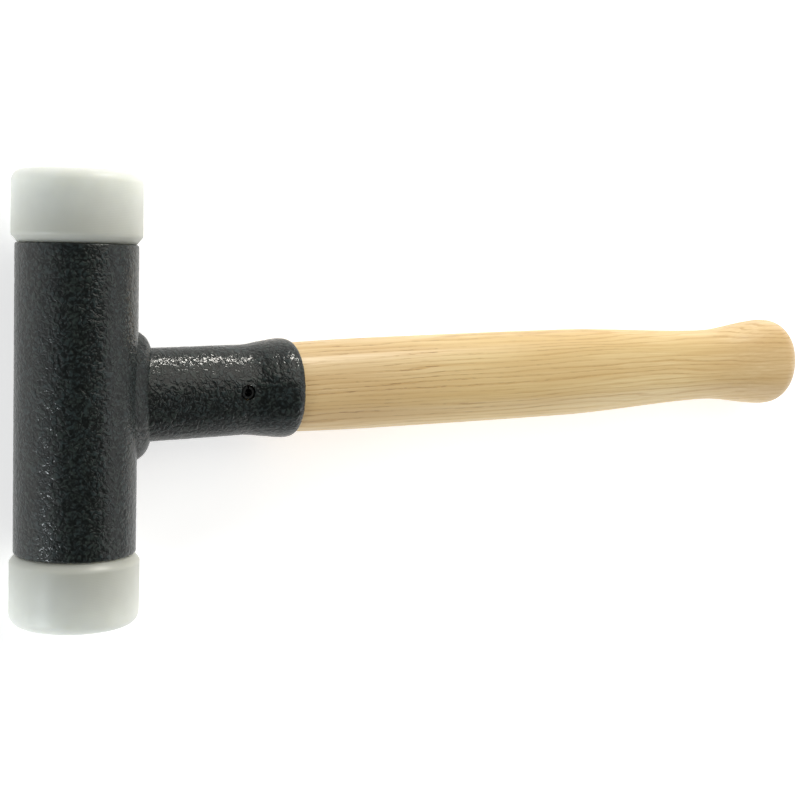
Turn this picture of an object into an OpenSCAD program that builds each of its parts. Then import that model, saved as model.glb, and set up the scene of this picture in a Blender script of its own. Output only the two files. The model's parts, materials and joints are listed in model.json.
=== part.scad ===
// Recoilless soft-face hammer, lying on its side as it rests on a bench.
// The head's axis runs along Y and the handle points along +X.
// Z = 0 is the bench: the hammer touches it with both faces and with the handle's knob.
// Distances along the handle are measured from the head's axis.
// "Deep" sizes run across the handle along the head's axis, "thick" sizes run across the other way.

/* [Head] */
// Outside diameter of the steel head tube
tube_d = 42.4; // [40:0.1:44]
// Wall of the head tube
tube_wall = 2.6; // [2:0.1:3.5]
// Length of the head tube
tube_len = 108; // [104:1:120]
// Rounding of the tube's outer ends
tube_edge = 0.8; // [0.3:0.1:1.2]

/* [Striking faces] */
// Diameter of a nylon striking face
face_d = 45; // [44.5:0.1:47]
// Length of a face outside the tube
face_len = 25; // [18:0.5:30]
// Diameter where a face sits on the tube's end
face_seat_d = 40.8; // [40:0.1:41]
// Length of the bevel next to the tube
face_seat_bevel = 2.6; // [1:0.1:4]
// Size of the rounded bevel at the striking edge
strike_bevel = 4.2; // [2:0.1:6]
// Length of the shank pressed into the tube
shank_len = 18; // [14:1:20]
// Number of barbs on a shank
barbs = 3; // [2:1:4]
// How far a barb's crest bites beyond the tube's bore
barb_bite = 0.12; // [0.05:0.01:0.2]

/* [Steel shot] */
// Rings of balls around the middle one in each layer
shot_rings = 2; // [1:1:2]
// Layers of balls along the head
shot_layers = 7; // [4:1:8]
// Gap left between balls
shot_gap = 0.1; // [0.05:0.05:0.2]
// Gap between the shot and the bore
bore_gap = 0.35; // [0.3:0.05:0.6]

/* [Handle socket] */
// Depth of the socket beside the head
socket_deep = 33.8; // [33:0.1:35]
// Thickness of the socket beside the head
socket_thick = 20.6; // [20:0.1:22]
// Depth of the flared mouth
mouth_deep = 37.5; // [37:0.1:39]
// Thickness of the flared mouth
mouth_thick = 32.8; // [32:0.1:34]
// Distance of the mouth's widest place from the head's axis
mouth_at = 80.3; // [79:0.1:81]
// Distance of the socket's rim from the head's axis
rim_at = 82.8; // [82:0.1:86]
// Wall of the socket
socket_wall = 2; // [1.8:0.1:2.2]
// Angle by which the handle leans towards the right-hand face
rake = 1.5; // [0:0.1:2]

/* [Weld] */
// Height of the weld above the socket's narrow edges
weld_deep = 6.6; // [4:0.1:7]
// Height of the weld above the socket's broad sides
weld_thick = 2.6; // [2:0.1:3]
// Reach of the weld along the handle from the tube
weld_reach = 6; // [4:0.1:7]

/* [Handle] */
// Clearance between the handle and the socket
handle_gap = 0.1; // [0.05:0.01:0.2]
// Depth of the handle at the rim
rim_deep = 33.7; // [33.5:0.1:34.2]
// Thickness of the handle at the rim
rim_thick = 29.2; // [28.6:0.1:29.4]
// Depth of the handle at the start of the grip
grip_deep = 35.5; // [34:0.1:37]
// Thickness of the handle at the start of the grip
grip_thick = 28.8; // [27:0.1:30]
// Distance of the grip's start from the head's axis
grip_at = 120; // [110:1:130]
// Depth of the handle at the swell
swell_deep = 36.6; // [35:0.1:38]
// Thickness of the handle at the swell
swell_thick = 28.6; // [27:0.1:30]
// Distance of the swell from the head's axis
swell_at = 214; // [200:1:225]
// Depth of the handle at the waist before the knob
waist_deep = 31.5; // [29:0.1:33]
// Thickness of the handle at the waist before the knob
waist_thick = 24.6; // [23:0.1:26]
// Distance of the waist from the head's axis
waist_at = 297; // [285:1:303]
// Depth of the knob
knob_deep = 39.2; // [37:0.1:42]
// Thickness of the knob
knob_thick = 31; // [29:0.1:33]
// Distance of the knob's widest place from the head's axis
knob_at = 336; // [325:1:345]
// Length of the rounded end beyond the knob's widest place
knob_end = 16.6; // [14:0.2:22]
// Roundness of the oval: 2 is an ellipse, more is squarer
oval_power = 2.2; // [2:0.05:2.4]

/* [Handle pin] */
// Diameter of the slotted spring pin
pin_d = 5; // [4:0.1:6]
// Wall of the pin
pin_wall = 1; // [0.8:0.1:1.2]
// Distance of the pin from the head's axis
pin_at = 61; // [55:1:64]
// How far the pin's ends sit below the socket's sides
pin_sink = 0.3; // [0:0.1:0.5]

/* [Hidden] */
$fn = 96;

steel_paint = [0.24, 0.27, 0.26];
nylon_white = [0.90, 0.91, 0.88];
bare_steel = [0.62, 0.63, 0.64];
pin_steel = [0.34, 0.36, 0.36];
ash_wood = [0.87, 0.75, 0.54];

tube_r = tube_d / 2;
bore_r = tube_r - tube_wall;
face_r = face_d / 2;

// The knob touches the bench, so the handle dips by a small angle towards it.
rest_dip = asin((face_r - knob_thick / 2) / (knob_at * cos(rake)));
handle_end = knob_at + knob_end;
end_x = handle_end * cos(rake) * cos(rest_dip);
// The origin is below the middle of the whole hammer.
head_x = (face_r - end_x) / 2;

// The wooden tenon stops just short of the head tube and widens towards the rim.
tenon_at = tube_r + 2;
tenon_neck_at = 63;
tenon_side = 2 * (socket_wall + handle_gap);
tenon_size = [socket_deep - tenon_side, socket_thick - tenon_side];
socket_waist_thick = 24.4;
tenon_neck_size = [socket_deep - tenon_side, socket_waist_thick - tenon_side];

// One station of an oval loft: [distance, depth, thickness].
handle_stations = [
    [0, tenon_size.x, tenon_size.y],
    [tenon_at, tenon_size.x, tenon_size.y],
    [tenon_neck_at, tenon_neck_size.x, tenon_neck_size.y],
    [rim_at, rim_deep, rim_thick],
    [grip_at, grip_deep, grip_thick],
    [swell_at, swell_deep, swell_thick],
    [waist_at, waist_deep, waist_thick],
    [knob_at, knob_deep, knob_thick]
];
socket_stations = [
    [0, socket_deep, socket_thick],
    [tenon_at, socket_deep, socket_thick],
    [tenon_neck_at, socket_deep, socket_waist_thick],
    [mouth_at, mouth_deep, mouth_thick]
];
// The lip curls in from the mouth's widest place to the rim.
lip_in = 1.1;

oval_sides = 36;
ring_step = 8;
cap_steps = 7;
cap_last = 82;
weld_steps = 8;
// The weld melts this far into the tube and the socket.
weld_fusion = 0.4;

// Smooth curve through the stations: slopes are level at every highest and lowest place.
function rise(st, i, k) = (st[i + 1][k] - st[i][k]) / (st[i + 1][0] - st[i][0]);
function slope(st, i, k) =
    i == 0 || i == len(st) - 1 || rise(st, i - 1, k) * rise(st, i, k) <= 0
    ? 0
    : 2 * rise(st, i - 1, k) * rise(st, i, k) / (rise(st, i - 1, k) + rise(st, i, k));
function span(st, s, i = 0) = i >= len(st) - 2 || s <= st[i + 1][0] ? i : span(st, s, i + 1);
function curve(st, i, t, k) =
    let (gap = st[i + 1][0] - st[i][0])
    st[i][k] * (1 + 2 * t) * pow(1 - t, 2)
    + st[i + 1][k] * t * t * (3 - 2 * t)
    + gap * slope(st, i, k) * t * pow(1 - t, 2)
    - gap * slope(st, i + 1, k) * t * t * (1 - t);
function size_at(st, s) =
    let (i = span(st, s), t = (s - st[i][0]) / (st[i + 1][0] - st[i][0]))
    [curve(st, i, t, 1), curve(st, i, t, 2)];

function signed_pow(v, p) = sign(v) * pow(abs(v), p);
// One oval ring across the handle at distance s.
function oval(s, deep, thick) = [
    for (i = [0 : oval_sides - 1])
        let (a = 360 * i / oval_sides)
        [
            s,
            deep / 2 * signed_pow(cos(a), 2 / oval_power),
            thick / 2 * signed_pow(sin(a), 2 / oval_power)
        ]
];
// Rings along stations, each made larger or smaller all round by grow.
function rings(st, from, to, grow = 0) =
    let (steps = ceil((to - from) / ring_step))
    [
        for (i = [0 : steps])
            let (s = from + (to - from) * i / steps, size = size_at(st, s))
            oval(s, size.x + 2 * grow, size.y + 2 * grow)
    ];

// A closed solid skinned over oval rings.
module loft(ring_list) {
    n = oval_sides;
    last = len(ring_list) - 1;
    sides = [
        for (r = [0 : last - 1], i = [0 : n - 1])
            [(r + 1) * n + i, (r + 1) * n + (i + 1) % n, r * n + (i + 1) % n, r * n + i]
    ];
    near_cap = [[for (i = [0 : n - 1]) i]];
    far_cap = [[for (i = [n - 1 : -1 : 0]) last * n + i]];
    polyhedron(points = [for (r = ring_list) each r], faces = concat(sides, near_cap, far_cap));
}

// Places what is modelled around the head's axis.
module on_head() {
    translate([head_x, 0, face_r]) children();
}

// Places what is modelled along the handle.
module on_handle() {
    on_head() rotate([0, rest_dip, 0]) rotate([0, 0, rake]) children();
}

// A rod along the head's axis, wherever the handle points.
module head_rod(r, length) {
    rotate([0, 0, -rake]) rotate([90, 0, 0]) cylinder(r = r, h = length, center = true);
}

module head_tube() {
    half = tube_len / 2;
    color(steel_paint) on_head() rotate([-90, 0, 0]) rotate_extrude() polygon([
        [bore_r, -half],
        [tube_r - tube_edge, -half],
        [tube_r, -half + tube_edge],
        [tube_r, half - tube_edge],
        [tube_r - tube_edge, half],
        [bore_r, half]
    ]);
}

// Section of a striking face: the tube's end is at y = 0 and the face points along +y.
function face_section() =
    let (
        core_r = bore_r - 0.1,
        barb_pitch = shank_len / (barbs + 1),
        edge_r = face_r - strike_bevel,
        arc_steps = 6
    )
    concat(
        [[0, -shank_len], [core_r - 1.2, -shank_len], [core_r, -shank_len + 1.5]],
        [
            for (b = [barbs : -1 : 1])
                each [
                    [core_r, -b * barb_pitch - 0.8],
                    [bore_r + barb_bite, -b * barb_pitch + 0.6],
                    [core_r, -b * barb_pitch + 0.8]
                ]
        ],
        [[core_r, 0], [face_seat_d / 2, 0], [face_r, face_seat_bevel]],
        [
            for (i = [0 : arc_steps])
                let (a = 90 * i / arc_steps)
                [edge_r + strike_bevel * cos(a), face_len - strike_bevel + strike_bevel * sin(a)]
        ],
        [[0, face_len]]
    );

module striking_face() {
    translate([0, tube_len / 2, 0]) rotate([-90, 0, 0]) rotate_extrude() polygon(face_section());
}

// The right-hand face, looking along the handle towards the head.
module striking_face_right() {
    color(nylon_white) on_head() striking_face();
}

module striking_face_left() {
    color(nylon_white) on_head() mirror([0, 1, 0]) striking_face();
}

// Balls packed in rings, as large as fits the bore with that many rings.
module steel_shot() {
    room = bore_r - bore_gap;
    ball_r = (room - shot_rings * shot_gap) / (2 * shot_rings + 1);
    pitch = 2 * ball_r + shot_gap;
    color(bare_steel) on_head()
    for (layer = [0 : shot_layers - 1]) {
        y = (layer - (shot_layers - 1) / 2) * pitch;
        translate([0, y, 0]) sphere(r = ball_r, $fn = 24);
        for (ring = [1 : shot_rings], i = [0 : 6 * ring - 1]) {
            a = 360 * i / (6 * ring);
            translate([ring * pitch * cos(a), y, ring * pitch * sin(a)]) sphere(r = ball_r, $fn = 24);
        }
    }
}

// Rings of the socket's outside, with its lip curled in at the rim.
function socket_rings() =
    let (lip_len = rim_at - mouth_at, lip_steps = 4)
    concat(
        rings(socket_stations, tube_r / 2, mouth_at),
        [
            for (i = [1 : lip_steps])
                let (u = i / lip_steps, in = 2 * lip_in * (1 - sqrt(1 - 0.96 * u * u)))
                oval(mouth_at + lip_len * u, mouth_deep - in, mouth_thick - in)
        ]
    );

module handle_socket() {
    color(steel_paint) on_handle() difference() {
        loft(socket_rings());
        loft(rings(handle_stations, tube_r / 2 - 1, rim_at + 1, handle_gap));
        head_rod(tube_r, tube_len);
        translate([pin_at, 0, 0]) cylinder(d = pin_d, h = 2 * socket_waist_thick, center = true);
    }
}

// The weld stands highest beside the socket's narrow edges and is low on its broad sides,
// where the tube's wall curves away from the socket.
function weld_rings() =
    let (side_at = sqrt(pow(tube_r, 2) - pow(socket_thick / 2 + weld_thick, 2)))
    [
        for (i = [0 : weld_steps])
            let (
                s = tube_r / 2 + (weld_reach + tube_r / 2) * i / weld_steps,
                u = max(0, s - tube_r) / weld_reach,
                v = max(0, s - side_at) / weld_reach,
                deep = weld_deep * sqrt(max(0, 1 - u * u)),
                thick = weld_thick * sqrt(max(0, 1 - v * v))
            )
            oval(s, socket_deep + 2 * deep, socket_thick + 2 * thick)
    ];

module weld_bead() {
    color(steel_paint) on_handle() difference() {
        loft(weld_rings());
        loft(rings(socket_stations, tube_r / 2 - 1, tenon_neck_at, -weld_fusion));
        head_rod(tube_r - weld_fusion, tube_len);
    }
}

// Rings of the handle, closed by a rounded end.
function handle_rings() = concat(
    rings(handle_stations, tenon_at, knob_at),
    [
        for (i = [1 : cap_steps])
            let (a = cap_last * i / cap_steps)
            oval(knob_at + knob_end * sin(a), knob_deep * cos(a), knob_thick * cos(a))
    ],
    [oval(handle_end, 2, 1.6)]
);

module handle() {
    color(ash_wood) on_handle() difference() {
        loft(handle_rings());
        translate([pin_at, 0, 0]) cylinder(d = pin_d, h = 2 * socket_waist_thick, center = true);
    }
}

module handle_pin() {
    pin_len = size_at(socket_stations, pin_at).y - 2 * pin_sink;
    slot = 0.9;
    color(pin_steel) on_handle() translate([pin_at, 0, 0]) difference() {
        cylinder(d = pin_d, h = pin_len, center = true);
        cylinder(d = pin_d - 2 * pin_wall, h = pin_len + 1, center = true);
        translate([0, pin_d / 2, 0]) cube([slot, pin_d, pin_len + 1], center = true);
    }
}

head_tube();
striking_face_right();
striking_face_left();
steel_shot();
handle_socket();
weld_bead();
handle();
handle_pin();
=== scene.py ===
"""Looks of the recoilless soft-face hammer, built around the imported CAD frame.

The hammer lies on its side on a pale floor. Its head runs along Y and its handle along +X.
Sizes that these don't give, such as walls and bevels, are named below.
"""

import json
import math

import bmesh
import bpy
import numpy as np
from mathutils import Matrix, Vector, noise


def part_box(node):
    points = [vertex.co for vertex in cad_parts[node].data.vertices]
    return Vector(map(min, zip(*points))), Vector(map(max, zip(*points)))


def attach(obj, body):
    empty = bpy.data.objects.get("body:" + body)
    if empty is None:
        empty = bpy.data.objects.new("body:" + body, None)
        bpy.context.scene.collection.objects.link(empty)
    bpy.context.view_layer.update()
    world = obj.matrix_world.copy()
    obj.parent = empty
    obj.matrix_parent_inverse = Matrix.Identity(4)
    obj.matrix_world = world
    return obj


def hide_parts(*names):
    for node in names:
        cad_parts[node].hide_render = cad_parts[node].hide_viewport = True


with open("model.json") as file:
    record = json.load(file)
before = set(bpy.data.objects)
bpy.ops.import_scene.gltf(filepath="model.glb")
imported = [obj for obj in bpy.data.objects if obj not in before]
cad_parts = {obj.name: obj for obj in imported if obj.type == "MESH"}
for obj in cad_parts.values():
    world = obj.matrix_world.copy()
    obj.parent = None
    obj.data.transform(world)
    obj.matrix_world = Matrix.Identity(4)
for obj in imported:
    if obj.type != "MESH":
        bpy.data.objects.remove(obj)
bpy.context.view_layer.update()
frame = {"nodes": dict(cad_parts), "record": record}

MM = 0.001
NOISE_SEED = 7
# noise_vector's offsets follow the clock unless a seed is set.
noise.seed_set(NOISE_SEED)


# ---------------------------------------------------------------- places and sizes

def box_centre(node):
    low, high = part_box(node)
    return (low + high) / 2


def box_size(node):
    low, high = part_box(node)
    return high - low


MOUNTS = {m["name"]: m for m in frame["record"]["mounts"]}
HEAD = box_centre("head_tube")
TUBE_R = box_size("head_tube").z / 2
TUBE_HALF = box_size("head_tube").y / 2
TUBE_WALL = 2.6 * MM
TUBE_EDGE = 0.8 * MM
FACE_R = box_size("striking_face_right").z / 2
FACE_SEAT_R = 20.4 * MM
FACE_SEAT_BEVEL = 2.6 * MM
STRIKE_BEVEL = 4.2 * MM
PIN_R = 2.5 * MM
PIN_WALL = 1.0 * MM
PIN_SLOT = 0.9 * MM
PIN_CLEARANCE = 0.3 * MM
DRILL_LENGTH = 60 * MM
DRILL_SIDES = 48
MERGE_DISTANCE = 0.002 * MM
SHANK_GAP = 0.1 * MM
SOCKET_GAP = 0.1 * MM
OVAL_POWER = 2.2
HALVINGS = 40


def handle_frame():
    """Matrix from handle coordinates (x along the handle, y along the head) to the row frame."""
    x = Vector(MOUNTS["grip"]["axis"]).normalized()
    z = x.cross(Vector((0, 1, 0))).normalized()
    y = z.cross(x)
    turn = Matrix((x, y, z)).transposed()
    return Matrix.Translation(HEAD) @ turn.to_4x4()


HANDLE = handle_frame()
HANDLE_INVERSE = HANDLE.inverted()


def transform(matrix, points):
    m = np.array(matrix)
    return points @ m[:3, :3].T + m[:3, 3]


# ---------------------------------------------------------------- mesh helpers

def skin(rows, loop):
    """Faces over rows of points. Rows close round, and the last row joins the first if loop."""
    count, columns, _ = rows.shape
    index = np.arange(count * columns).reshape(count, columns)
    near, far = (index, np.roll(index, -1, 0)) if loop else (index[:-1], index[1:])
    quads = np.stack([near, np.roll(near, -1, 1), np.roll(far, -1, 1), far], axis=-1)
    faces = quads.reshape(-1, 4).tolist()
    if not loop:
        faces += [index[0][::-1].tolist(), index[-1].tolist()]
    return rows.reshape(-1, 3), faces


def make_piece(name, points, faces, material, node, body="hammer"):
    """A smooth-shaded mesh that rides on a body and stands for one CAD node."""
    mesh = bpy.data.meshes.new(name)
    mesh.from_pydata(points.tolist(), [], faces)
    mesh.validate()
    edit = bmesh.new()
    edit.from_mesh(mesh)
    bmesh.ops.recalc_face_normals(edit, faces=edit.faces)
    edit.to_mesh(mesh)
    edit.free()
    mesh.shade_smooth()
    mesh.materials.append(material)
    piece = bpy.data.objects.new(name, mesh)
    bpy.context.scene.collection.objects.link(piece)
    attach(piece, body)
    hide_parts(node)
    return piece


def sharpen(piece, degrees):
    """Keeps edges sharper than the angle crisp."""
    piece.data.set_sharp_from_angle(angle=math.radians(degrees))


def densify(points, step):
    """Points added along a polyline so that no gap is longer than step."""
    out = [points[0]]
    for a, b in zip(points[:-1], points[1:]):
        count = max(1, math.ceil(math.dist(a, b) / step))
        out += [[a[k] + (b[k] - a[k]) * i / count for k in range(len(a))] for i in range(1, count + 1)]
    return out


def arc(centre, radius, start, end, steps):
    """Points on an arc in a section, angles in degrees."""
    angles = [math.radians(start + (end - start) * i / steps) for i in range(steps + 1)]
    return [[centre[0] + radius * math.cos(a), centre[1] + radius * math.sin(a)] for a in angles]


def lathe(section, columns):
    """Rows of points from a section of (radius, distance along Y) turned round the head's axis."""
    section = np.array(section)
    angle = np.linspace(0, 2 * math.pi, columns, endpoint=False)
    radius, along = section[:, 0:1], section[:, 1:2]
    rows = np.stack([radius * np.cos(angle), along + 0 * angle, radius * np.sin(angle)], axis=-1)
    return rows + np.array(HEAD)


def signed_power(value, power):
    return np.sign(value) * np.abs(value) ** power


def oval(angle, half_deep, half_thick):
    """Oval outline across the handle at the angles."""
    y = half_deep * signed_power(np.cos(angle), 2 / OVAL_POWER)
    z = half_thick * signed_power(np.sin(angle), 2 / OVAL_POWER)
    return y, z


def oval_rows(stations, columns):
    """Rows of points in handle coordinates for stations of (distance, half depth, half thickness)."""
    angle = np.linspace(0, 2 * math.pi, columns, endpoint=False)
    rows = []
    for s, deep, thick in stations:
        y, z = oval(angle, deep, thick)
        rows.append(np.stack([s + 0 * y, y, z], axis=-1))
    return np.array(rows)


def measure_ovals(node):
    """(distance, half depth, half thickness) of each whole oval ring that the CAD node has."""
    mesh = frame["nodes"][node].data
    points = np.array([HANDLE_INVERSE @ v.co for v in mesh.vertices])
    ring_tolerance, least_points = 0.02 * MM, 30
    key = np.round(points[:, 0] / ring_tolerance).astype(int)
    found = []
    for k in np.unique(key):
        ring = points[key == k]
        if len(ring) >= least_points:
            found.append([ring[:, 0].mean(), *np.abs(ring[:, 1:]).max(axis=0)])
    return np.array(found)


def smooth_stations(stations, step):
    """The stations joined by a smooth curve and sampled at about the step."""
    gaps = np.linalg.norm(np.diff(stations[:, :2], axis=0), axis=1)
    along = np.concatenate([[0], np.cumsum(gaps)])
    slopes = np.gradient(stations, along, axis=0)
    fine = np.linspace(0, along[-1], math.ceil(along[-1] / step) + 1)
    i = np.clip(np.searchsorted(along, fine, side="right") - 1, 0, len(along) - 2)
    gap = (along[i + 1] - along[i])[:, None]
    t = (fine - along[i])[:, None] / gap
    return (
        stations[i] * (1 + 2 * t) * (1 - t) ** 2
        + stations[i + 1] * t * t * (3 - 2 * t)
        + gap * slopes[i] * t * (1 - t) ** 2
        - gap * slopes[i + 1] * t * t * (1 - t)
    )


def size_at(stations, s):
    """Half depth and half thickness at distance s."""
    return [np.interp(s, stations[:, 0], stations[:, k]) for k in (1, 2)]


def tube_meets(angle, half_deep, half_thick):
    """Distance along the handle at which each line of an oval leaves the head tube."""
    y, z = oval(angle, half_deep, half_thick)
    low, high = np.zeros_like(y), np.full_like(y, 2 * TUBE_R)
    for _ in range(HALVINGS):
        middle = (low + high) / 2
        place = transform(HANDLE, np.stack([middle, y, z], axis=-1)) - np.array(HEAD)
        outside = np.hypot(place[:, 0], place[:, 2]) > TUBE_R
        high = np.where(outside, middle, high)
        low = np.where(outside, low, middle)
    return (low + high) / 2


def drill(piece, centre, radius):
    """Cuts a round hole through the piece across the handle's thickness, and cleans the cut mesh."""
    bit_mesh = bpy.data.meshes.new("bit")
    edit = bmesh.new()
    bmesh.ops.create_cone(
        edit, cap_ends=True, segments=DRILL_SIDES, radius1=radius, radius2=radius, depth=DRILL_LENGTH
    )
    edit.to_mesh(bit_mesh)
    edit.free()
    bit = bpy.data.objects.new("bit", bit_mesh)
    bpy.context.scene.collection.objects.link(bit)
    bit.matrix_world = HANDLE @ Matrix.Translation(centre)
    cut = piece.modifiers.new("hole", "BOOLEAN")
    cut.operation = "DIFFERENCE"
    cut.solver = "EXACT"
    cut.object = bit
    bpy.context.view_layer.update()
    depsgraph = bpy.context.evaluated_depsgraph_get()
    cut_mesh = bpy.data.meshes.new_from_object(piece.evaluated_get(depsgraph))
    piece.modifiers.remove(cut)
    edit = bmesh.new()
    edit.from_mesh(cut_mesh)
    bmesh.ops.remove_doubles(edit, verts=edit.verts, dist=MERGE_DISTANCE)
    bmesh.ops.triangulate(edit, faces=[f for f in edit.faces if len(f.verts) > 4])
    bmesh.ops.dissolve_degenerate(edit, edges=edit.edges, dist=MERGE_DISTANCE)
    edit.to_mesh(cut_mesh)
    edit.free()
    old = piece.data
    piece.data = cut_mesh
    bpy.data.meshes.remove(old)
    bpy.data.objects.remove(bit)


# ---------------------------------------------------------------- material helpers

def new_material(name):
    """A material, its node tree and its main shader."""
    material = bpy.data.materials.new(name)
    material.use_nodes = True
    tree = material.node_tree
    return material, tree, tree.nodes["Principled BSDF"]


def add_node(tree, kind, inputs=None, **settings):
    """Adds a node; an input is a value or another node's output."""
    made = tree.nodes.new(kind)
    for name, value in settings.items():
        setattr(made, name, value)
    for key, value in (inputs or {}).items():
        if isinstance(value, bpy.types.NodeSocket):
            tree.links.new(value, made.inputs[key])
        else:
            made.inputs[key].default_value = value
    return made


def math_node(tree, operation, a, b=0.0, clamp=False):
    return add_node(tree, "ShaderNodeMath", {0: a, 1: b}, operation=operation, use_clamp=clamp).outputs[0]


def mix_colour(tree, factor, a, b, blend="MIX"):
    made = add_node(tree, "ShaderNodeMix", data_type="RGBA", blend_type=blend)
    for key, value in ((0, factor), (6, a), (7, b)):
        if isinstance(value, bpy.types.NodeSocket):
            tree.links.new(value, made.inputs[key])
        else:
            made.inputs[key].default_value = value
    return made.outputs[2]


def remap(tree, value, low, high, to_low=0.0, to_high=1.0):
    inputs = {"Value": value, "From Min": low, "From Max": high, "To Min": to_low, "To Max": to_high}
    return add_node(tree, "ShaderNodeMapRange", inputs, interpolation_type="SMOOTHSTEP").outputs[0]


def object_place(tree):
    return add_node(tree, "ShaderNodeTexCoord").outputs["Object"]


def scaled(tree, vector, scale, move=(0, 0, 0)):
    inputs = {"Vector": vector, "Scale": scale, "Location": move}
    return add_node(tree, "ShaderNodeMapping", inputs).outputs[0]


def noise_value(tree, vector, scale, detail=2.0, roughness=0.5, distortion=0.0):
    inputs = {
        "Vector": vector, "Scale": scale, "Detail": detail,
        "Roughness": roughness, "Distortion": distortion,
    }
    return add_node(tree, "ShaderNodeTexNoise", inputs).outputs["Fac"]


def bump(tree, height, distance, strength=1.0, before=None):
    inputs = {"Height": height, "Distance": distance, "Strength": strength}
    if before is not None:
        inputs["Normal"] = before
    return add_node(tree, "ShaderNodeBump", inputs).outputs["Normal"]


# ---------------------------------------------------------------- materials

def crinkle_mask(tree, place, scale, width):
    """Blobs with wiggly creases between them: 0 in a crease, 1 on a blob."""
    fold = math_node(tree, "SUBTRACT", noise_value(tree, place, scale, 1.0, 0.5, 0.5), 0.5)
    return remap(tree, math_node(tree, "ABSOLUTE", fold), 0.0, width)


def hammertone_paint():
    """Dark grey hammer-tone enamel: blue-grey blobs with darker creases under a glossy film."""
    material, tree, shader = new_material("hammertone_paint")
    place = object_place(tree)
    relief = add_node(tree, "ShaderNodeAttribute", attribute_name="relief").outputs["Fac"]
    creases = crinkle_mask(tree, place, 560.0, 0.16)
    mottle = noise_value(tree, place, 1300.0, 2.0, 0.6)
    cloud = noise_value(tree, place, 240.0, 2.0, 0.5)
    crease = (0.0015, 0.0030, 0.0025, 1)
    blob = (0.0265, 0.0375, 0.0330, 1)
    blue_blob = (0.0245, 0.0370, 0.0375, 1)
    tone = mix_colour(tree, remap(tree, cloud, 0.42, 0.58), blob, blue_blob)
    raised = math_node(tree, "MULTIPLY", remap(tree, relief, 0.15, 0.9, 0.25, 1.0), creases)
    lifted = math_node(tree, "MULTIPLY", raised, remap(tree, mottle, 0.3, 0.6, 0.5, 1.0))
    tree.links.new(mix_colour(tree, lifted, crease, tone), shader.inputs["Base Color"])
    tree.links.new(remap(tree, mottle, 0.3, 0.7, 0.38, 0.52), shader.inputs["Roughness"])
    shader.inputs["Specular IOR Level"].default_value = 0.22
    shader.inputs["Coat Weight"].default_value = 0.45
    shader.inputs["Coat Roughness"].default_value = 0.05
    height = math_node(tree, "ADD", creases, math_node(tree, "MULTIPLY", mottle, 0.4))
    tree.links.new(bump(tree, height, 0.09 * MM, 1.0), shader.inputs["Normal"])
    tree.links.new(bump(tree, creases, 0.045 * MM, 1.0), shader.inputs["Coat Normal"])
    return material


def white_nylon():
    """Turned white nylon: light sinks in deep. Towards the tube its colour is darkened as painted shade,
    where the steel shank stops light coming through. Faint lathe rings.
    """
    material, tree, shader = new_material("white_nylon")
    place = object_place(tree)
    cloud = noise_value(tree, place, 55.0, 3.0, 0.55)
    clean = (0.74, 0.77, 0.725, 1)
    dull = (0.68, 0.705, 0.665, 1)
    # Painted shade: the nylon's colour next to the tube, darkened where the steel shank stops light
    # coming through.
    tube_shade_colour = (0.40, 0.41, 0.36, 1)
    move = [-value for value in HEAD]
    centred = scaled(tree, place, (1, 1, 1), move)
    parts = add_node(tree, "ShaderNodeSeparateXYZ", {0: centred})
    along = math_node(tree, "ABSOLUTE", parts.outputs[1])
    # The painted shade fades out between these two distances from the head's middle.
    dark_until, unshaded_from = TUBE_HALF - 4 * MM, TUBE_HALF + 20 * MM
    depth = add_node(
        tree, "ShaderNodeMapRange", {"Value": along, "From Min": dark_until, "From Max": unshaded_from}
    ).outputs[0]
    fresh = mix_colour(tree, remap(tree, cloud, 0.35, 0.7), clean, dull)
    # Painted shade mixed over the nylon's own colour towards the tube.
    tree.links.new(mix_colour(tree, depth, tube_shade_colour, fresh), shader.inputs["Base Color"])
    tree.links.new(remap(tree, cloud, 0.3, 0.7, 0.34, 0.46), shader.inputs["Roughness"])
    shader.subsurface_method = "RANDOM_WALK"
    shader.inputs["Subsurface Weight"].default_value = 0.85
    shader.inputs["Subsurface Radius"].default_value = (1.0, 0.97, 0.85)
    shader.inputs["Subsurface Scale"].default_value = 9.0 * MM
    shader.inputs["IOR"].default_value = 1.53
    across = add_node(tree, "ShaderNodeCombineXYZ", {0: parts.outputs[0], 2: parts.outputs[2]}).outputs[0]
    radius = add_node(tree, "ShaderNodeVectorMath", {0: across}, operation="LENGTH").outputs["Value"]
    turned = math_node(tree, "ADD", radius, math_node(tree, "MULTIPLY", parts.outputs[1], 0.8))
    turning_pitch = 0.45 * MM
    rings = math_node(tree, "SINE", math_node(tree, "MULTIPLY", turned, 2 * math.pi / turning_pitch))
    scuff = noise_value(tree, scaled(tree, place, (500, 160, 500)), 1.0, 4.0, 0.7)
    lathe_marks = bump(tree, rings, 0.006 * MM, 0.6)
    tree.links.new(bump(tree, scuff, 0.04 * MM, 0.35, lathe_marks), shader.inputs["Normal"])
    return material


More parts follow.
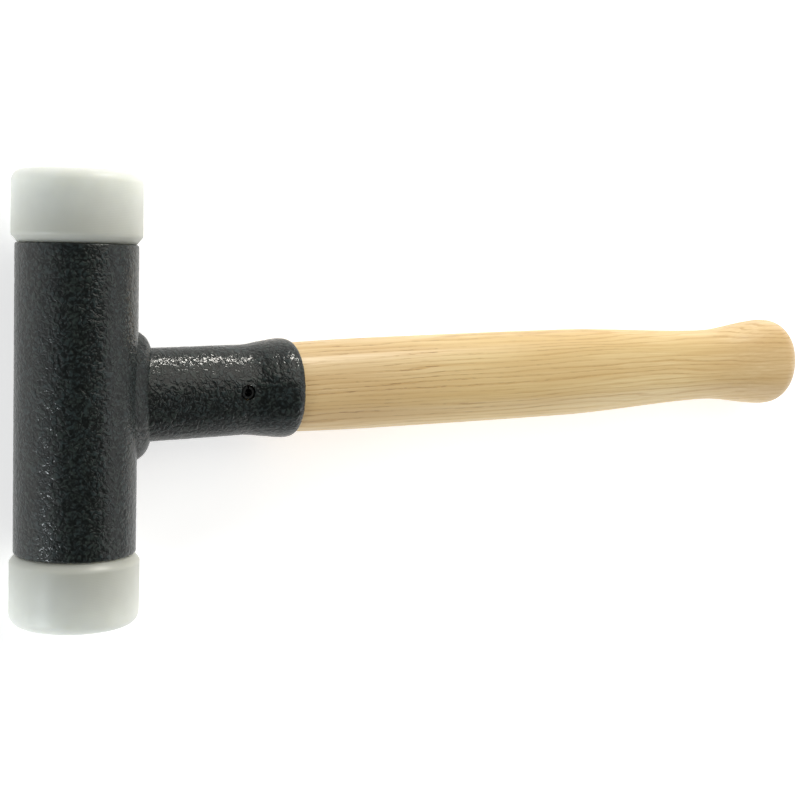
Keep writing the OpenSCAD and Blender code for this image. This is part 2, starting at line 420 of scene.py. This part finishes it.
def ash_wood():
    """Pale varnished ash: rings seen as long bands that fade in and out, with pores near the socket."""
    material, tree, shader = new_material("ash_wood")
    mapping = add_node(tree, "ShaderNodeMapping", {"Vector": object_place(tree)})
    mapping.inputs["Location"].default_value = HANDLE_INVERSE.translation
    mapping.inputs["Rotation"].default_value = HANDLE_INVERSE.to_euler()
    place = mapping.outputs[0]
    ring_width = 1.75 * MM
    pith = (0, -0.19, -0.012)
    wander = noise_value(tree, scaled(tree, place, (5, 60, 60)), 1.0, 2.0, 0.5)
    waver = noise_value(tree, scaled(tree, place, (28, 300, 300)), 1.0, 2.0, 0.5)
    from_pith = scaled(tree, place, (0, 1, 1), [-value for value in pith])
    distance = add_node(tree, "ShaderNodeVectorMath", {0: from_pith}, operation="LENGTH").outputs["Value"]
    bent = math_node(tree, "ADD", distance, math_node(tree, "MULTIPLY", wander, 10.0 * MM))
    bent = math_node(tree, "ADD", bent, math_node(tree, "MULTIPLY", waver, 1.8 * MM))
    phase = math_node(tree, "FRACT", math_node(tree, "DIVIDE", bent, ring_width))
    early = math_node(
        tree, "MULTIPLY",
        remap(tree, phase, 0.02, 0.10), remap(tree, phase, 0.22, 0.48, 1.0, 0.0),
    )
    fading = noise_value(tree, scaled(tree, place, (16, 190, 190)), 1.0, 2.0, 0.6)
    early = math_node(tree, "MULTIPLY", early, remap(tree, fading, 0.36, 0.62, 0.30, 1.0))
    streak = noise_value(tree, scaled(tree, place, (18, 1500, 1500)), 1.0, 3.0, 0.6)
    dashes = noise_value(tree, scaled(tree, place, (230, 2300, 2300)), 1.0, 1.0, 0.4)
    along = add_node(tree, "ShaderNodeSeparateXYZ", {0: place}).outputs[0]
    coarse_end = remap(tree, along, 0.11, 0.24, 1.0, 0.4)
    pores = math_node(tree, "MULTIPLY", remap(tree, dashes, 0.52, 0.62), early)
    pores = math_node(tree, "MULTIPLY", pores, coarse_end)
    cloud = noise_value(tree, scaled(tree, place, (7, 130, 130)), 1.0, 3.0, 0.6)
    late_colour = (0.655, 0.455, 0.205, 1)
    pale_colour = (0.735, 0.550, 0.285, 1)
    early_colour = (0.555, 0.340, 0.125, 1)
    pore_colour = (0.33, 0.180, 0.065, 1)
    colour = mix_colour(tree, remap(tree, cloud, 0.35, 0.65), late_colour, pale_colour)
    colour = mix_colour(tree, math_node(tree, "MULTIPLY", early, 0.8), colour, early_colour)
    colour = mix_colour(tree, remap(tree, streak, 0.35, 0.7, 0.0, 0.35), colour, early_colour)
    colour = mix_colour(tree, math_node(tree, "MULTIPLY", pores, 0.55), colour, pore_colour)
    # Colour made lighter along the middle stretch of the handle, from 0.10 to 0.33 m along it.
    lightened_middle = mix_colour(tree, 1.0, colour, (1.10, 1.14, 1.11, 1), "MULTIPLY")
    middle = math_node(
        tree, "MULTIPLY",
        remap(tree, along, 0.10, 0.17), remap(tree, along, 0.27, 0.33, 1.0, 0.0),
    )
    tree.links.new(mix_colour(tree, middle, colour, lightened_middle), shader.inputs["Base Color"])
    tree.links.new(remap(tree, streak, 0.3, 0.7, 0.36, 0.5), shader.inputs["Roughness"])
    shader.inputs["Coat Weight"].default_value = 0.12
    shader.inputs["Coat Roughness"].default_value = 0.25
    fibre = bump(tree, streak, 0.02 * MM, 0.5)
    soft_bands = math_node(tree, "MULTIPLY", early, 0.25)
    dents = math_node(tree, "MULTIPLY", math_node(tree, "ADD", pores, soft_bands), -1.0)
    tree.links.new(bump(tree, dents, 0.12 * MM, 0.8, fibre), shader.inputs["Normal"])
    return material


def pin_steel():
    """Spring steel under the dark paint, coloured almost black, darker than the paint itself, as painted
    shade of the sunk hole.
    """
    material, tree, shader = new_material("pin_steel")
    place = object_place(tree)
    patch = noise_value(tree, place, 1400.0, 3.0, 0.6)
    # Painted shade: both colours are near black and stand for the shade inside the sunk pin hole.
    dark, light = (0.003, 0.004, 0.004, 1), (0.016, 0.018, 0.017, 1)
    colour = mix_colour(tree, remap(tree, patch, 0.42, 0.6), dark, light)
    tree.links.new(colour, shader.inputs["Base Color"])
    tree.links.new(remap(tree, patch, 0.4, 0.6, 0.6, 0.4), shader.inputs["Roughness"])
    shader.inputs["Metallic"].default_value = 0.6
    tree.links.new(bump(tree, patch, 0.03 * MM, 0.6), shader.inputs["Normal"])
    return material


def shot_steel():
    """Bare steel shot, dulled by rubbing."""
    material, tree, shader = new_material("shot_steel")
    place = object_place(tree)
    rubbed = noise_value(tree, place, 700.0, 4.0, 0.65)
    dull, bright = (0.42, 0.42, 0.43, 1), (0.60, 0.60, 0.61, 1)
    colour = mix_colour(tree, remap(tree, rubbed, 0.35, 0.65), dull, bright)
    tree.links.new(colour, shader.inputs["Base Color"])
    tree.links.new(remap(tree, rubbed, 0.3, 0.7, 0.22, 0.45), shader.inputs["Roughness"])
    shader.inputs["Metallic"].default_value = 1.0
    tree.links.new(bump(tree, rubbed, 0.02 * MM, 0.5), shader.inputs["Normal"])
    return material


def floor_material():
    """Pale acrylic of a light table: white, and softly lit from below."""
    material, tree, shader = new_material("studio_floor")
    cloud = noise_value(tree, object_place(tree), 3.0, 2.0, 0.5)
    colour = mix_colour(tree, cloud, (0.79, 0.79, 0.79, 1), (0.81, 0.81, 0.81, 1))
    tree.links.new(colour, shader.inputs["Base Color"])
    shader.inputs["Roughness"].default_value = 0.9
    shader.inputs["Specular IOR Level"].default_value = 0.1
    shader.inputs["Emission Color"].default_value = (1, 1, 1, 1)
    shader.inputs["Emission Strength"].default_value = 0.6
    return material


PAINT = hammertone_paint()
NYLON = white_nylon()
WOOD = ash_wood()
PIN = pin_steel()
SHOT = shot_steel()


# ---------------------------------------------------------------- painted steel

BLOB = 2.1 * MM
RELIEF = 0.25 * MM
PAINT_STEP = 0.4 * MM
CRINKLE_GAIN = 3.4
WARP_SCALE, WARP = 1.1, 0.35
FINE_SCALE, FINE_SHIFT = 1.9, Vector((7.3, 1.9, 4.1))
SWELL_SCALE = 0.45
COARSE_SHARE, FINE_SHARE, SWELL_SHARE = 0.50, 0.24, 0.26


def crinkle(place):
    """Noise folded at zero: rounded blobs with wiggly creases between them, from 0 to 1."""
    fold = min(abs(noise.noise(place)) * CRINKLE_GAIN, 1.0)
    return fold * (2 - fold)


def relief_height(point):
    """Height of the hammer-tone relief, from 0 in the deepest crease to 1 on a blob."""
    place = point / BLOB
    place = place + noise.noise_vector(place * WARP_SCALE) * WARP
    coarse = crinkle(place)
    fine = crinkle(place * FINE_SCALE + FINE_SHIFT)
    swell = 0.5 + 0.5 * noise.noise(place * SWELL_SCALE)
    return COARSE_SHARE * coarse + FINE_SHARE * fine + SWELL_SHARE * swell


def paint_relief(piece):
    """Sinks the paint's creases into the surface and stores the relief for the shader."""
    mesh = piece.data
    heights = [relief_height(v.co) for v in mesh.vertices]
    normals = [v.normal.copy() for v in mesh.vertices]
    for vertex, normal, height in zip(mesh.vertices, normals, heights):
        vertex.co += normal * (height - 1.0) * RELIEF
    layer = mesh.attributes.new("relief", "FLOAT", "POINT")
    layer.data.foreach_set("value", heights)


def make_head_tube():
    """Steel pipe with rounded outer edges, open through its bore."""
    edge_steps = 5
    bore = TUBE_R - TUBE_WALL
    corner = TUBE_R - TUBE_EDGE
    inner_edge = TUBE_HALF - TUBE_EDGE
    outer = [[TUBE_R, -inner_edge], [TUBE_R, inner_edge]]
    section = densify(outer, PAINT_STEP)
    section += arc((corner, inner_edge), TUBE_EDGE, 15, 90, edge_steps)
    section += [[bore, TUBE_HALF], [bore, -TUBE_HALF]]
    section += arc((corner, -inner_edge), TUBE_EDGE, -90, -15, edge_steps)
    columns = round(2 * math.pi * TUBE_R / PAINT_STEP)
    points, faces = skin(lathe(section, columns), loop=True)
    piece = make_piece("head_tube_shell", points, faces, PAINT, "head_tube")
    sharpen(piece, 50)
    paint_relief(piece)


HANDLE_STATIONS = measure_ovals("handle")


def socket_stations():
    """Outside of the socket: rings clearly larger than the handle inside it."""
    clearly_larger = 0.4 * MM
    found = measure_ovals("handle_socket")
    inside = size_at(HANDLE_STATIONS, found[:, 0])[0]
    return found[found[:, 1] > inside + clearly_larger]


SOCKET_STATIONS = socket_stations()
SOCKET_COLUMNS = 240


def coped_rows(stations, columns, square_from, step):
    """Rows that start on the head tube's surface and become square to the handle further out."""
    angle = np.linspace(0, 2 * math.pi, columns, endpoint=False)
    start_deep, start_thick = size_at(stations, TUBE_R)
    start = tube_meets(angle, start_deep, start_thick)
    count = math.ceil((square_from - start.min()) / step)
    rows = []
    for i in range(count):
        s = start + (square_from - start) * i / count
        deep, thick = size_at(stations, s)
        y, z = oval(angle, deep, thick)
        rows.append(np.stack([s, y, z], axis=-1))
    return np.array(rows)


def make_socket():
    """Oval tube coped to the head, with a flared mouth whose lip curls in to the handle."""
    square_from, bore_step = 32 * MM, 4 * MM
    outside = smooth_stations(SOCKET_STATIONS, PAINT_STEP)
    rim_at = SOCKET_STATIONS[-1, 0]
    inside = HANDLE_STATIONS[HANDLE_STATIONS[:, 0] < rim_at]
    rim_size = size_at(HANDLE_STATIONS, rim_at)
    inside = np.vstack([inside, [rim_at, *rim_size]])
    inside[:, 1:] += SOCKET_GAP
    rows = [coped_rows(outside, SOCKET_COLUMNS, square_from, PAINT_STEP)]
    rows.append(oval_rows(outside[outside[:, 0] >= square_from], SOCKET_COLUMNS))
    bore = inside[inside[:, 0] >= square_from][::-1]
    rows.append(oval_rows(bore, SOCKET_COLUMNS))
    rows.append(coped_rows(inside, SOCKET_COLUMNS, square_from, bore_step)[::-1])
    points, faces = skin(np.vstack(rows), loop=True)
    piece = make_piece(
        "socket_shell", transform(HANDLE, points), faces, PAINT, "handle_socket"
    )
    drill(piece, pin_place(), PIN_R + PIN_CLEARANCE)
    sharpen(piece, 50)
    paint_relief(piece)


def pin_place():
    """The pin's middle in handle coordinates."""
    middle = HANDLE_INVERSE @ box_centre("handle_pin")
    return Vector((middle.x, 0, 0))


def make_weld():
    """Convex weld ring between the tube and the socket, a little uneven all round."""
    columns, arc_steps = 320, 14
    leg_deep, leg_thick, reach = 6.4 * MM, 2.5 * MM, 5.6 * MM
    sunk, convexity = 0.3 * MM, 0.62
    angle = np.linspace(0, 2 * math.pi, columns, endpoint=False)
    deep, thick = size_at(SOCKET_STATIONS, TUBE_R)
    uneven = np.array([noise.noise(Vector((2.2 * math.cos(a), 2.2 * math.sin(a), 0))) for a in angle])
    wobble = 1 + 0.16 * uneven
    joint_s = tube_meets(angle, deep, thick)
    joint = np.stack([joint_s, *oval(angle, deep, thick)], axis=-1)
    wide = oval(angle, deep + leg_deep * wobble, thick + leg_thick * wobble)
    tube_s = tube_meets(angle, deep + leg_deep * wobble, thick + leg_thick * wobble)
    tube_toe = np.stack([tube_s - sunk, *wide], axis=-1)
    side = np.abs(np.sin(angle)) ** 2
    socket_s = joint_s + reach * wobble * (1 - 0.2 * side)
    socket_toe = np.stack([socket_s, *oval(angle, deep - sunk, thick - sunk)], axis=-1)
    corner = tube_toe + socket_toe - joint
    control = (1 - convexity) * (tube_toe + socket_toe) / 2 + convexity * corner
    rows = []
    for i in range(arc_steps + 1):
        t = i / arc_steps
        rows.append((1 - t) ** 2 * tube_toe + 2 * t * (1 - t) * control + t * t * socket_toe)
    root = np.stack([joint_s - sunk, *oval(angle, deep - sunk, thick - sunk)], axis=-1)
    rows.append(root)
    points, faces = skin(np.array(rows), loop=True)
    piece = make_piece(
        "weld_ring", transform(HANDLE, points), faces, PAINT, "weld_bead"
    )
    sharpen(piece, 60)
    paint_relief(piece)


# ---------------------------------------------------------------- nylon faces

def face_section(tube_end, front):
    """Section of a face from its shank's inner end to the middle of its striking side."""
    shank = TUBE_R - TUBE_WALL - SHANK_GAP
    inner = 36 * MM
    lead = 1.5 * MM
    step = 1.5 * MM
    near_axis = 0.5 * MM
    side_start = tube_end + FACE_SEAT_BEVEL + 1 * MM
    corner_r = FACE_R - STRIKE_BEVEL
    corner_y = front - STRIKE_BEVEL
    small = 0.35 * MM
    section = [[near_axis, inner], [shank - lead, inner], [shank, inner + lead], [shank, tube_end]]
    section += [[FACE_SEAT_R - small, tube_end], [FACE_SEAT_R, tube_end + 0.5 * small]]
    section += [[FACE_R - small, tube_end + FACE_SEAT_BEVEL - small]]
    section += [[FACE_R, tube_end + FACE_SEAT_BEVEL + 0.6 * small]]
    section += densify([[FACE_R, side_start], [FACE_R, corner_y]], step)
    section += arc((corner_r, corner_y), STRIKE_BEVEL, 8, 90, 14)
    section += densify([[corner_r - small, front], [near_axis, front]], step)
    return section


def make_face(name, node, side):
    """A nylon face on the side of the head that side (1 or -1) points to."""
    columns = 192
    front = abs(MOUNTS[node + "_front"]["pos_m"][1])
    section = [[r, side * y] for r, y in face_section(TUBE_HALF, front)]
    points, faces = skin(lathe(section, columns), loop=False)
    piece = make_piece(name, points, faces, NYLON, node)
    sharpen(piece, 50)


# ---------------------------------------------------------------- handle and pin

def make_handle():
    """Oval wooden handle with its tenon, waist, knob and rounded end."""
    step, columns = 1.1 * MM, 128
    stations = smooth_stations(HANDLE_STATIONS, step)
    points, faces = skin(oval_rows(stations, columns), loop=False)
    piece = make_piece(
        "handle_wood", transform(HANDLE, points), faces, WOOD, "handle"
    )
    drill(piece, pin_place(), PIN_R)
    sharpen(piece, 60)


def make_pin():
    """Slotted spring pin with bevelled ends."""
    sunk = 0.05 * MM
    half = box_size("handle_pin").z / 2 - sunk
    bevel = 0.4 * MM
    outer_steps, inner_steps = 44, 36
    slot_angle = math.degrees(math.asin(PIN_SLOT / 2 / PIN_R))
    widened = 4
    start, end = 90 + slot_angle, 450 - slot_angle

    def outline(shrink):
        outer = arc((0, 0), PIN_R - shrink, start, end, outer_steps)
        inner = arc((0, 0), PIN_R - PIN_WALL, end - widened, start + widened, inner_steps)
        return outer + inner

    stations = ((-half, bevel), (-half + bevel, 0.0), (half - bevel, 0.0), (half, bevel))
    rows = np.array([[[x, y, z] for x, y in outline(shrink)] for z, shrink in stations])
    points, faces = skin(rows + np.array(pin_place()), loop=False)
    piece = make_piece("pin_sleeve", transform(HANDLE, points), faces, PIN, "handle_pin")
    sharpen(piece, 30)


def make_shot():
    """Layers of balls, each a middle ball with rings round it, as packed in the CAD node."""
    layers, rings, gap = 7, 2, 0.1 * MM
    radius = (box_size("steel_shot").z / 2 - rings * gap) / (2 * rings + 1)
    pitch = 2 * radius + gap
    centres = [(0.0, 0.0)]
    for ring in range(1, rings + 1):
        turns = [2 * math.pi * i / (6 * ring) for i in range(6 * ring)]
        centres += [(ring * pitch * math.cos(a), ring * pitch * math.sin(a)) for a in turns]
    edit = bmesh.new()
    bmesh.ops.create_icosphere(edit, subdivisions=3, radius=radius)
    edit.verts.index_update()
    ball = np.array([v.co for v in edit.verts]) + np.array(box_centre("steel_shot"))
    ball_faces = np.array([[v.index for v in f.verts] for f in edit.faces])
    edit.free()
    points, faces = [], []
    for layer in range(layers):
        y = (layer - (layers - 1) / 2) * pitch
        for x, z in centres:
            faces += (ball_faces + len(points) * len(ball)).tolist()
            points.append(ball + (x, y, z))
    make_piece("shot_balls", np.vstack(points), faces, SHOT, "steel_shot", "shot")


make_head_tube()
make_socket()
make_weld()
make_face("nylon_face_right", "striking_face_right", 1)
make_face("nylon_face_left", "striking_face_left", -1)
make_handle()
make_pin()
make_shot()


# ---------------------------------------------------------------- studio

def make_floor():
    """Flat floor under the hammer, large enough to reach the horizon."""
    reach = 15.0
    mesh = bpy.data.meshes.new("floor")
    edit = bmesh.new()
    bmesh.ops.create_grid(edit, x_segments=8, y_segments=8, size=reach)
    edit.to_mesh(mesh)
    edit.free()
    mesh.materials.append(floor_material())
    floor = bpy.data.objects.new("floor", mesh)
    bpy.context.scene.collection.objects.link(floor)
    floor.location.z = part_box("striking_face_right")[0].z


WARM = (1.0, 0.97, 0.90)
WHITE = (1.0, 1.0, 1.0)


def make_light(name, azimuth, elevation, distance, size, power, colour):
    """A soft square light that looks at the hammer from a compass angle (0 is +X, 90 is +Y)."""
    data = bpy.data.lights.new(name, "AREA")
    data.shape = "SQUARE"
    data.size = size
    data.energy = power
    data.color = colour
    light = bpy.data.objects.new(name, data)
    bpy.context.scene.collection.objects.link(light)
    turn, lift = math.radians(azimuth), math.radians(elevation)
    towards = Vector((math.cos(turn) * math.cos(lift), math.sin(turn) * math.cos(lift), math.sin(lift)))
    light.location = towards * distance
    light.rotation_euler = towards.to_track_quat("Z", "Y").to_euler()


def make_world():
    """Room with pale walls that fade into a dark ceiling."""
    world = bpy.data.worlds.new("studio")
    bpy.context.scene.world = world
    world.use_nodes = True
    tree = world.node_tree
    direction = add_node(tree, "ShaderNodeTexCoord").outputs["Generated"]
    height = add_node(tree, "ShaderNodeSeparateXYZ", {0: direction}).outputs[2]
    wall, ceiling = (1.0, 1.0, 1.0, 1), (0.06, 0.06, 0.06, 1)
    colour = mix_colour(tree, remap(tree, height, 0.25, 0.8), wall, ceiling)
    tree.links.new(colour, tree.nodes["Background"].inputs["Color"])
    tree.nodes["Background"].inputs["Strength"].default_value = 0.7


def make_camera():
    """Looks down on the head from the handle's far side, aimed past it along the handle."""
    place = HEAD + Vector((-165.9, 47.6, 487.2)) * MM
    aim = HEAD + Vector((130.3, 6.4, 0.0)) * MM
    roll = math.radians(1.42)
    data = bpy.data.cameras.new("camera")
    data.sensor_width = 36
    data.lens = 65.1
    data.shift_x, data.shift_y = 0.005, -0.032
    data.clip_start, data.clip_end = 0.02, 20
    camera = bpy.data.objects.new("camera", data)
    bpy.context.scene.collection.objects.link(camera)
    back = (place - aim).normalized()
    right = Vector((0, 1, 0)).cross(back).normalized()
    up = back.cross(right)
    turned_up = up * math.cos(roll) - right * math.sin(roll)
    turned_right = right * math.cos(roll) + up * math.sin(roll)
    turn = Matrix((turned_right, turned_up, back)).transposed()
    camera.matrix_world = Matrix.Translation(place) @ turn.to_4x4()
    bpy.context.scene.camera = camera


make_floor()
make_world()
make_light("key", 71, 28, 1.3, 0.2, 6.0, WARM)
make_light("key_mouth", 59, 28, 1.3, 0.14, 2.6, WARM)
make_light("key_wide", 62, 60, 1.5, 1.0, 6, WARM)
make_light("knob_side", 0, 45, 1.5, 0.9, 2.5, WHITE)
make_light("knob_low", 315, 20, 0.9, 0.4, 1.0, (1.0, 0.98, 0.95))
make_light("low_fill", 204, 12, 1.5, 0.25, 5, (0.90, 0.96, 1.0))
make_light("near_fill", 240, 18, 1.5, 0.6, 1.3, (0.85, 0.93, 1.0))
make_camera()
bpy.context.scene.view_settings.view_transform = "Standard"
